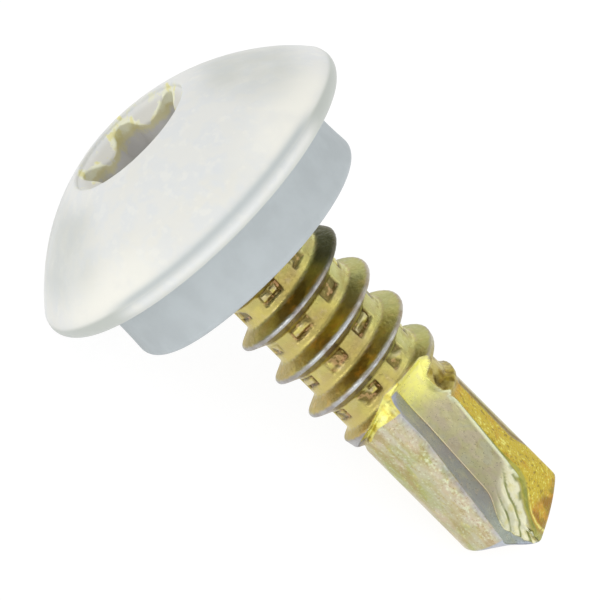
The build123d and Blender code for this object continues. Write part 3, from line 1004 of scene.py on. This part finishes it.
class Finish:
    """The node tree of one finish, round its Principled shader."""

    def __init__(self, name, **constants):
        self.material = bpy.data.materials.new(name)
        self.material.use_nodes = True
        self.tree = self.material.node_tree
        self.shader = self.tree.nodes["Principled BSDF"]
        self.along_screw = None
        for socket, value in constants.items():
            self.shader.inputs[socket.replace("_", " ")].default_value = value

    def node(self, kind, settings, sockets, output=0):
        """A node of a kind, with its settings and its sockets' values or links."""
        made = self.tree.nodes.new(kind)
        for name, value in settings.items():
            setattr(made, name, value)
        for name, value in sockets.items():
            if isinstance(value, Value):
                self.tree.links.new(value.socket, made.inputs[name])
            else:
                made.inputs[name].default_value = value
        return Value(self, made.outputs[output])

    def maths(self, operation, first, second):
        return self.node("ShaderNodeMath", {"operation": operation}, {0: first, 1: second})

    def band(self, value, low, high):
        """0 below low and 1 above high, with a smooth step between."""
        sockets = {"Value": value, "From Min": low, "From Max": high}
        return self.node("ShaderNodeMapRange", {"interpolation_type": "SMOOTHSTEP"}, sockets)

    def mixed(self, factor, first, second):
        """From the first colour to the second."""
        first, second = [c if isinstance(c, Value) else (*c, 1) for c in (first, second)]
        sockets = {0: factor, 6: first, 7: second}
        return self.node("ShaderNodeMix", {"data_type": "RGBA"}, sockets, output=2)

    def layered(self, tint, *layers):
        """A colour with others over it. Each layer is a factor and a colour."""
        for factor, over in layers:
            tint = self.mixed(factor, tint, over)
        return tint

    def masks(self, *names):
        """Masks that were worked out with the shape."""
        return [
            self.node("ShaderNodeAttribute", {"attribute_name": name}, {}, output="Fac")
            for name in names
        ]

    def noise(self, size, detail=2.0, stretch=(1, 1, 1)):
        """Uneven cloud of a size in metres, laid out along the screw's own axes."""
        if self.along_screw is None:
            place = placing()
            spot = self.node("ShaderNodeTexCoord", {}, {}, output="Object")
            sockets = {"Vector": spot, "Location": place.translation, "Rotation": place.to_euler()}
            self.along_screw = self.node("ShaderNodeMapping", {"vector_type": "TEXTURE"}, sockets)
        sockets = {0: self.along_screw, 1: tuple(1 / k for k in stretch)}
        spread = self.node("ShaderNodeVectorMath", {"operation": "MULTIPLY"}, sockets)
        sockets = {"Vector": spread, "Scale": 1 / size, "Detail": detail}
        return self.node("ShaderNodeTexNoise", {}, sockets)

    def feed(self, socket, value):
        self.tree.links.new(value.socket, self.shader.inputs[socket])

    def bump(self, height, depth, strength):
        """Unevenness too fine for the mesh."""
        sockets = {"Height": height, "Distance": depth, "Strength": strength}
        self.feed("Normal", self.node("ShaderNodeBump", {}, sockets))


# In a layer's factor, band(cloud, low, high) picks the blotches where the cloud passes from one of
# its levels to another, and the plain number that it is multiplied by is the layer's strength.


def zinc_colour(finish, zinc):
    """Passivated zinc: tan, drifting to olive, rose and yellow in soft patches along the shank."""
    drift, patch = finish.noise(1.3 * MM, 3.0), finish.noise(0.8 * MM, 3.0, (1, 1, 1.6))
    fleck = finish.noise(0.3 * MM, 2.0)
    return finish.layered(
        zinc.tan,
        (finish.band(drift, 0.42, 0.62), zinc.olive),
        (finish.band(patch, 0.5, 0.66) * 0.7, zinc.rose),
        (finish.band(fleck, 0.58, 0.8) * 0.4, zinc.yellow),
        ((1 - finish.band(fleck, 0.3, 0.5)) * 0.35, zinc.tarnish),
    )


def thread_colour(finish, zinc, tint, speck):
    """Brown and amber on the ridge's upper flank as painted shade, bare zinc on its crest, brown in the
    marks as painted shade, painted light and shade by side, and the washer's painted shadow.
    """
    band, layered = finish.band, finish.layered
    blotch, smudge = finish.noise(0.45 * MM, 3.0), finish.noise(0.8 * MM, 4.0)
    groove, shelf, shade, middle, field, marks = finish.masks(
        "groove", "shelf", "shade", "middle", "field", "marks"
    )
    east, west, stub, dent, flank, east_flank_painted_light, far_east_flank_painted_light, under, crest, painted_washer_shadow = finish.masks(
        "east", "west", "stub", "dent", "flank", "east_flank_painted_light", "far_east_flank_painted_light", "under", "crest", "painted_washer_shadow"
    )
    in_field = layered(zinc.rose, (band(speck, 0.4, 0.6), zinc.yellow))
    # The marks' frames and pits get painted shade, with rusty speckle.
    mark_painted_shade = layered(zinc.pit_painted_shade, (band(speck, 0.5, 0.62) * 0.8, zinc.rust))
    flank_painted_shade = layered(
        zinc.brown,
        (band(smudge, 0.42, 0.72) * 0.7, zinc.gold),
        (band(blotch, 0.5, 0.72) * 0.6, zinc.amber),
        # On the flank, straw on the west side and olive and mint on the east side are painted light.
        (west * 0.6, zinc.straw),
        (east_flank_painted_light * 0.75, zinc.olive),
        (far_east_flank_painted_light * 0.35, zinc.mint),
    )
    ragged = layered(
        zinc.brown,
        (band(speck, 0.3, 0.7) * 0.6, zinc.gold),
        (band(blotch, 0.4, 0.65) * 0.8, zinc.tarnish),
    )
    on_crest = layered(
        zinc.crest,
        (band(blotch, 0.38, 0.62) * 0.8, zinc.plum_and_painted_shade),
        # The crest's west side gets painted shade in plum and its east side in tarnish.
        (west * 0.5, zinc.plum_and_painted_shade),
        (east * 0.5, zinc.tarnish),
    )
    return layered(
        tint,
        (groove * 0.65, zinc.root),
        (groove * band(smudge, 0.5, 0.66) * 0.45, zinc.yellow),
        (groove * (1 - band(smudge, 0.36, 0.5)) * 0.6, zinc.tarnish),
        (groove * band(blotch, 0.55, 0.7) * 0.5, zinc.rose),
        # Painted highlight above each ridge.
        (groove * shelf * 0.45, zinc.shelf),
        (groove * shade * 0.4, zinc.olive),
        # Painted light and shade by side: straw on the west, darker root in the middle, mint on the east.
        (groove * west * 0.5, zinc.straw),
        (groove * middle * (band(blotch, 0.35, 0.6) * 0.3 + 0.4), zinc.root),
        (groove * east * (band(blotch, 0.35, 0.6) * 0.4 + 0.2), zinc.mint),
        (field * 0.35, in_field),
        # Painted shade in the die marks.
        (marks * band(speck, 0.15, 0.4), mark_painted_shade),
        # Painted shade on the upper flank.
        (flank * 0.95, flank_painted_shade),
        (stub * 0.85, ragged),
        (stub * band(blotch, 0.42, 0.6) * 0.7, zinc.shelf),
        # Painted shade in the dent beside the ridge's remnant.
        (dent * stub * (band(speck, 0.3, 0.6) * 0.4 + 0.5), zinc.pit_painted_shade),
        # Painted shade under the crests.
        (under * (1 - stub) * 0.8, layered(zinc.plum_and_painted_shade, (band(smudge, 0.4, 0.6) * 0.5, zinc.tarnish))),
        (crest * (1 - stub) * 0.9, on_crest),
        # Painted shadow of the washer.
        (painted_washer_shadow * 0.85, zinc.painted_washer_shadow),
    )


def drill_colour(finish, zinc, tint, speck, grain):
    """Bluish steep walls, tan wide walls, creased cream metal at the point and gold flats, with painted
    highlights on ramps, edges, flecks and flats, and painted shade in the folds, behind the cutting edges
    and on the cone's west side.
    """
    band, layered = finish.band, finish.layered
    mottle, patch = finish.noise(0.3 * MM, 5.0, (1, 1, 1.8)), finish.noise(0.6 * MM, 3.0)
    streaks = finish.noise(0.3 * MM, 5.0, (1, 1, 4))
    land, rose, sky, fleck, cone, brink, ramp, near, low, west, tinge = finish.masks(
        "land", "rose", "sky", "fleck", "cone", "brink", "ramp", "near", "low", "west", "tinge"
    )
    steep, root, wide, thin, fold_painted_shade, top, edge, gold, heel_painted_shadow, lip, rim = finish.masks(
        "steep", "root", "wide", "thin", "fold_painted_shade", "top", "edge", "gold", "heel_painted_shadow", "lip", "rim"
    )
    spots = land + wide * 0.4
    steep_wall_grey = layered(zinc.grey, (low, zinc.cool), (band(mottle, 0.5, 0.7) * 0.3, zinc.sky))
    amber = brink * band(mottle, 0.3, 0.6) * 0.8 + tinge * 0.6
    sheared = layered(
        zinc.gold,
        (band(grain, 0.5, 0.72) * 0.5, zinc.yellow),
        # Painted glints on the sheared flat.
        (band(grain + speck, 1.08, 1.3) * 0.8, zinc.lemon),
        ((1 - band(grain + speck, 0.72, 0.9)) * 0.6, zinc.brown),
        (band(patch, 0.5, 0.68) * 0.4 + amber, zinc.amber),
        (brink * band(streaks, 0.4, 0.6) * 0.6, zinc.brown),
    )
    bright = band(speck, 0.25, 0.6) * 0.4 + 0.55
    ramp_painted_highlight = layered(zinc.lemon, (band(mottle, 0.45, 0.62) * 0.8, zinc.gold))
    return layered(
        tint,
        (rose * (band(mottle, 0.42, 0.58) * 0.5 + 0.15), zinc.rose),
        (sky * 0.2 + land * 0.3 * band(streaks, 0.48, 0.6), zinc.sky),
        (land * (1 - band(streaks, 0.36, 0.48)) * 0.5, zinc.tarnish),
        # Painted highlight flecks on the land.
        (fleck * band(grain * 0.5 + speck * 0.5, 0.46, 0.62) * 0.5, zinc.pale),
        (spots * band(grain, 0.56, 0.7) * 0.4, zinc.pale),
        (spots * (1 - band(grain, 0.3, 0.42)) * 0.45, zinc.tarnish),
        # The cone's west side gets painted shade in grey.
        (cone * 0.88, layered(zinc.cool, (west * 0.85, zinc.grey))),
        (wide * 0.7, zinc.wall),
        (wide * band(patch, 0.46, 0.62) * 0.55, zinc.rose),
        (wide * (1 - band(patch, 0.36, 0.48)) * 0.35, zinc.sky),
        (wide * band(mottle, 0.55, 0.7) * 0.3, zinc.tarnish),
        (near * band(patch, 0.2, 0.55) * 0.8, steep_wall_grey),
        (steep * 0.95, layered(steep_wall_grey, (band(speck, 0.55, 0.75) * 0.35, zinc.rose))),
        # Painted highlight along the flute's bottom.
        (root * band(speck, 0.35, 0.6) * 0.6, zinc.rose),
        (thin * 0.95, layered(zinc.cream, (band(speck, 0.45, 0.75) * 0.5, zinc.yellow))),
        # Painted shade in the folds.
        (fold_painted_shade * 0.9, zinc.heel_painted_shadow),
        (gold, sheared),
        # Painted shadow behind the cutting edge.
        (heel_painted_shadow * 0.9, layered(zinc.heel_painted_shadow, (band(streaks, 0.45, 0.62) * 0.35, zinc.yellow))),
        (lip * band(speck, 0.3, 0.5), zinc.lemon),
        (rim * 0.8, zinc.brown),
        # Painted highlights on the land's ramp and at the top of the wide wall.
        (band(ramp + mottle, 0.8, 1.2) * bright * 0.9, ramp_painted_highlight),
        (top * bright, zinc.lemon),
        # Painted highlight along the cutting edge.
        (edge * 0.85, zinc.pale),
    )


def zinc_steel():
    """Yellow passivated zinc on the rolled and sheared shank. Both of its pieces share it."""
    name = "passivated zinc"
    if name in bpy.data.materials:
        return bpy.data.materials[name]
    zinc = bpy.context.scene.zinc_tones
    finish = Finish(name)
    grain, speck = finish.noise(0.1 * MM, 2.0), finish.noise(0.22 * MM, 2.0)
    uneven = finish.noise(0.38 * MM, 3.0)
    tint = thread_colour(finish, zinc, zinc_colour(finish, zinc), speck)
    finish.feed("Base Color", drill_colour(finish, zinc, tint, speck, grain))
    wide, gold, thin, steep, edge, flank = finish.masks("wide", "gold", "thin", "steep", "edge", "flank")
    smeared = wide * 0.4 + gold * 0.3 + thin * 0.5
    finish.feed("Metallic", 1 - smeared - steep * 0.35 - edge * 0.3)
    rough = gold * 0.12 + flank * 0.1 + 0.27
    finish.feed("Roughness", finish.band(grain, 0.3, 0.7) * 0.14 + rough)
    fine = grain * (gold * 2.0 - wide * 0.2 + 0.4)
    coarse = (speck * 0.7 + uneven * 1.6) * (1 - wide * 0.65)
    finish.bump(fine + coarse, depth=0.03 * MM, strength=0.8)
    return finish.material


def head_paint():
    """Powder coat on the head. It reaches down the chamfered ridges of the recess but not into its lobes,
    where bare zinc shows, pale at the mouth and grey below, the grey being painted shade. The coat
    carries painted shade in the mouth, the crease, the dome's sides and the rim, and painted highlight in
    two patches low on the dome."""
    tones = bpy.context.scene.finishes
    finish = Finish("powder coat", IOR=1.5)
    band, layered = finish.band, finish.layered
    drift, cloud = finish.noise(3.2 * MM, 3.0), finish.noise(1.5 * MM, 4.0)
    thin, dapple = finish.noise(0.4 * MM, 3.0), finish.noise(0.7 * MM, 2.0)
    depth, lobe, mouth, thick, crease, shoulder, ends, foot = finish.masks(
        "depth", "lobe", "mouth", "thick", "crease", "shoulder", "ends", "foot"
    )
    coat = layered(
        tones.paint,
        (band(drift, 0.5, 0.7) * 0.6, tones.paint_cream),
        (band(dapple, 0.42, 0.6) * 0.45, tones.paint_cool),
        (band(thin + dapple * 0.5, 0.8, 0.95) * 0.3, tones.pale_and_painted_highlight),
        (band(cloud, 0.55, 0.75) * 0.5, tones.paint_cool),
        # Painted highlight patches low on the dome.
        (thick * (band(cloud, 0.25, 0.55) * 0.5 + 0.5), tones.pale_and_painted_highlight),
        # Painted shade in the crease under the dome.
        (crease * 0.85, tones.crease_painted_shade),
        # Painted shade on the dome's sides, the rim's ends and the rim's foot.
        (shoulder * (band(cloud, 0.3, 0.6) * 0.2 + 0.35), tones.painted_shade_grey),
        (ends * 0.95 + foot * 0.65 * (1 - ends), tones.painted_shade_grey),
        # Painted shade inside the recess's mouth.
        (band(depth, -0.02, 0.2) * 0.6, tones.recess_mouth_painted_shade),
        (mouth * band(thin, 0.54, 0.62) * 0.8, tones.recess_cream),
    )
    ragged = depth + (thin - 0.5) * 0.9
    zinc_yellow = bpy.context.scene.zinc_tones.yellow
    metal = layered(
        tones.recess_cream,
        (band(thin, 0.54, 0.64) * 0.5, zinc_yellow),
        (band(ragged, 0.25, 0.5) * 0.7, tones.recess_tan),
        # Painted shade: grey deep in the recess.
        (band(ragged, 0.55, 0.8), tones.recess_painted_shade_grey),
    )
    bare = band(ragged + lobe * 0.5, 0.38, 0.5)
    finish.feed("Base Color", finish.mixed(bare, coat, metal))
    finish.feed("Metallic", bare * (1 - band(depth, 0.2, 0.9)) * 0.35)
    finish.feed("Roughness", bare * -0.05 + band(cloud, 0.3, 0.7) * 0.08 + 0.34)
    uneven = finish.noise(0.25 * MM, 2.0) + dapple + bare * thin * 2.0
    finish.bump(uneven, depth=0.014 * MM, strength=0.6)
    return finish.material


def grey_rubber():
    """Light grey moulded rubber, matt, with faint mould bloom."""
    rubber = bpy.context.scene.finishes.rubber
    finish = Finish("grey rubber", IOR=1.45)
    bloom, fine = finish.noise(1.1 * MM, 4.0), finish.noise(0.15 * MM, 3.0)
    dull, pale = [tuple(level * c for c in rubber) for level in (0.96, 1.03)]
    finish.feed("Base Color", finish.mixed(finish.band(bloom, 0.35, 0.65), dull, pale))
    finish.feed("Roughness", finish.band(fine, 0.3, 0.7) * 0.12 + 0.6)
    finish.bump(fine + bloom * 0.5, depth=0.02 * MM, strength=0.4)
    return finish.material


# ---------------------------------------------------------------- stage


# Each lamp's direction, along the screw towards the point, across it and out to the camera, and
# then its level.
LAMPS = {
    "lamp_point_side": (0.75, 0.1, 0.8, 0.16),
    "lamp_head_side": (-0.7, 0.2, 0.9, 0.1),
    "lamp_left": (-0.1, -0.9, 0.75, 0.22),
    "lamp_right": (0.3, 0.9, 0.6, 0.14),
}


def camera_axes():
    """Along the picture towards the point, across it, and out of it to the camera."""
    tilt = bpy.context.scene.stage_settings.view_tilt
    side, across, up_axis = [placing().to_3x3().col[i].copy() for i in range(3)]
    out = side * np.cos(tilt) + up_axis * np.sin(tilt)
    along = side * np.sin(tilt) - up_axis * np.cos(tilt)
    return along, across, out


def add_floor():
    """A wide pale floor. To the camera and in reflections it is white, less the screw's shadow."""
    reach, bounce, white_glow, white_shade = 4.0, 0.86, 0.9, 0.16
    corners = [(-reach, -reach, 0), (reach, -reach, 0), (reach, reach, 0), (-reach, reach, 0)]
    mesh = bpy.data.meshes.new("floor")
    mesh.from_pydata(corners, [], [(0, 1, 2, 3)])
    floor = bpy.data.objects.new("floor", mesh)
    bpy.context.scene.collection.objects.link(floor)
    pale = (bounce, bounce, bounce, 1)
    finish = Finish("floor", Roughness=1.0, Base_Color=pale, Specular_IOR_Level=0.0)
    rays = ("Is Camera Ray", "Is Glossy Ray", "Is Transmission Ray")
    seen = sum(finish.node("ShaderNodeLightPath", {}, {}, output=ray) for ray in rays)
    glow = finish.node("ShaderNodeEmission", {}, {"Color": (1, 1, 1, 1), "Strength": white_glow})
    grey = (white_shade, white_shade, white_shade, 1)
    shade = finish.node("ShaderNodeBsdfDiffuse", {}, {"Color": grey})
    white = finish.node("ShaderNodeAddShader", {}, {0: glow, 1: shade})
    plain = Value(finish, finish.shader.outputs[0])
    surface = finish.node("ShaderNodeMixShader", {}, {0: seen, 1: plain, 2: white})
    finish.tree.links.new(surface.socket, finish.tree.nodes["Material Output"].inputs["Surface"])
    mesh.materials.append(finish.material)


def add_sky():
    """White near the horizon, where it meets the floor, and grey overhead."""
    sky = bpy.context.scene.stage_settings.sky
    world = bpy.data.worlds.new("sky")
    world.use_nodes = True
    bpy.context.scene.world = world
    nodes, links = world.node_tree.nodes, world.node_tree.links
    ramp = nodes.new("ShaderNodeMapRange")
    ramp.interpolation_type = "SMOOTHSTEP"
    for name, value in {"From Min": 0.12, "From Max": 0.75, "To Min": 1.0, "To Max": sky}.items():
        ramp.inputs[name].default_value = value
    where = nodes.new("ShaderNodeTexCoord")
    parts = nodes.new("ShaderNodeSeparateXYZ")
    links.new(where.outputs["Generated"], parts.inputs[0])
    links.new(parts.outputs["Z"], ramp.inputs["Value"])
    links.new(ramp.outputs[0], nodes["Background"].inputs["Strength"])
    nodes["Background"].inputs["Color"].default_value = (1, 1, 1, 1)


def add_lamp(name, direction, level):
    """A square soft lamp. Its level is the share that it adds to the light on a face towards it."""
    width, distance = 0.24, 0.3
    light = bpy.data.lights.new(name, "AREA")
    light.shape, light.size = "SQUARE", width
    light.energy = level * np.pi**2 * distance**2
    lamp = bpy.data.objects.new(name, light)
    lamp.visible_camera = False
    direction = Vector(direction).normalized()
    lamp.location = direction * distance
    lamp.rotation_euler = direction.to_track_quat("Z", "Y").to_euler()
    bpy.context.scene.collection.objects.link(lamp)


def add_lamps():
    """The soft lamps round the screw."""
    axes = Matrix(camera_axes()).transposed()
    for name, (*direction, level) in LAMPS.items():
        add_lamp(name, axes @ Vector(direction), level)


def add_camera():
    """A long lens that looks at the middle of the shank, with the screw lying corner to corner."""
    stage = bpy.context.scene.stage_settings
    along, across, out = camera_axes()
    aim = placing().translation + along * stage.view_along + across * stage.view_across
    data = bpy.data.cameras.new("camera")
    data.sensor_width = 36.0
    data.lens = data.sensor_width * stage.camera_distance / stage.view_width
    data.clip_start, data.clip_end = 0.01, 20.0
    camera = bpy.data.objects.new("camera", data)
    right, up = (along + across).normalized(), (across - along).normalized()
    axes = Matrix((right, up, out)).transposed()
    camera.matrix_world = Matrix.Translation(aim + out * stage.camera_distance) @ axes.to_4x4()
    bpy.context.scene.collection.objects.link(camera)
    bpy.context.scene.camera = camera


# ---------------------------------------------------------------- operators


class BuildHead(bpy.types.Operator):
    """Builds the painted head with its recess"""

    bl_idname = "screw.build_head"
    bl_label = "Head"

    def execute(self, context):
        build_head()
        return {"FINISHED"}


class BuildWasher(bpy.types.Operator):
    """Builds the rubber sealing washer"""

    bl_idname = "screw.build_washer"
    bl_label = "Sealing washer"

    def execute(self, context):
        build_washer()
        return {"FINISHED"}


class BuildThread(bpy.types.Operator):
    """Builds the core with its rolled thread"""

    bl_idname = "screw.build_thread"
    bl_label = "Thread"

    def execute(self, context):
        build_thread()
        return {"FINISHED"}


class BuildDrillPoint(bpy.types.Operator):
    """Builds the fluted drill point"""

    bl_idname = "screw.build_drill_point"
    bl_label = "Drill point"

    def execute(self, context):
        build_drill_point()
        return {"FINISHED"}


class BuildStage(bpy.types.Operator):
    """Sets up the floor, the light and the camera"""

    bl_idname = "screw.build_stage"
    bl_label = "Stage"

    def execute(self, context):
        add_floor()
        add_sky()
        add_lamps()
        add_camera()
        context.scene.view_settings.view_transform = "Standard"
        return {"FINISHED"}


class ScrewPanel(bpy.types.Panel):
    """The pieces of the screw, and the sizes and colours that they are built from"""

    bl_idname = "VIEW3D_PT_screw"
    bl_label = "Self-drilling screw"
    bl_space_type = "VIEW_3D"
    bl_region_type = "UI"
    bl_category = "Screw"

    def draw(self, context):
        for operator in OPERATORS:
            self.layout.operator(operator.bl_idname)
        for name in SETTINGS:
            group = getattr(context.scene, name)
            box = self.layout.box()
            box.label(text=name.replace("_", " ").capitalize())
            for field in group.__annotations__:
                box.prop(group, field)


SETTINGS = {
    "head_sizes": HeadSizes,
    "washer_sizes": WasherSizes,
    "thread_sizes": ThreadSizes,
    "drill_sizes": DrillSizes,
    "finishes": Finishes,
    "zinc_tones": ZincTones,
    "stage_settings": StageSettings,
}
OPERATORS = [BuildHead, BuildWasher, BuildThread, BuildDrillPoint, BuildStage]


def register():
    for name, group in SETTINGS.items():
        bpy.utils.register_class(group)
        setattr(bpy.types.Scene, name, PointerProperty(type=group))
    for cls in [*OPERATORS, ScrewPanel]:
        bpy.utils.register_class(cls)


def unregister():
    for cls in [ScrewPanel, *reversed(OPERATORS)]:
        bpy.utils.unregister_class(cls)
    for name, group in reversed(SETTINGS.items()):
        delattr(bpy.types.Scene, name)
        bpy.utils.unregister_class(group)


def main():
    """Builds every piece and the stage."""
    register()
    for operator in OPERATORS:
        category, name = operator.bl_idname.split(".")
        getattr(getattr(bpy.ops, category), name)()


if __name__ == "__main__":
    main()
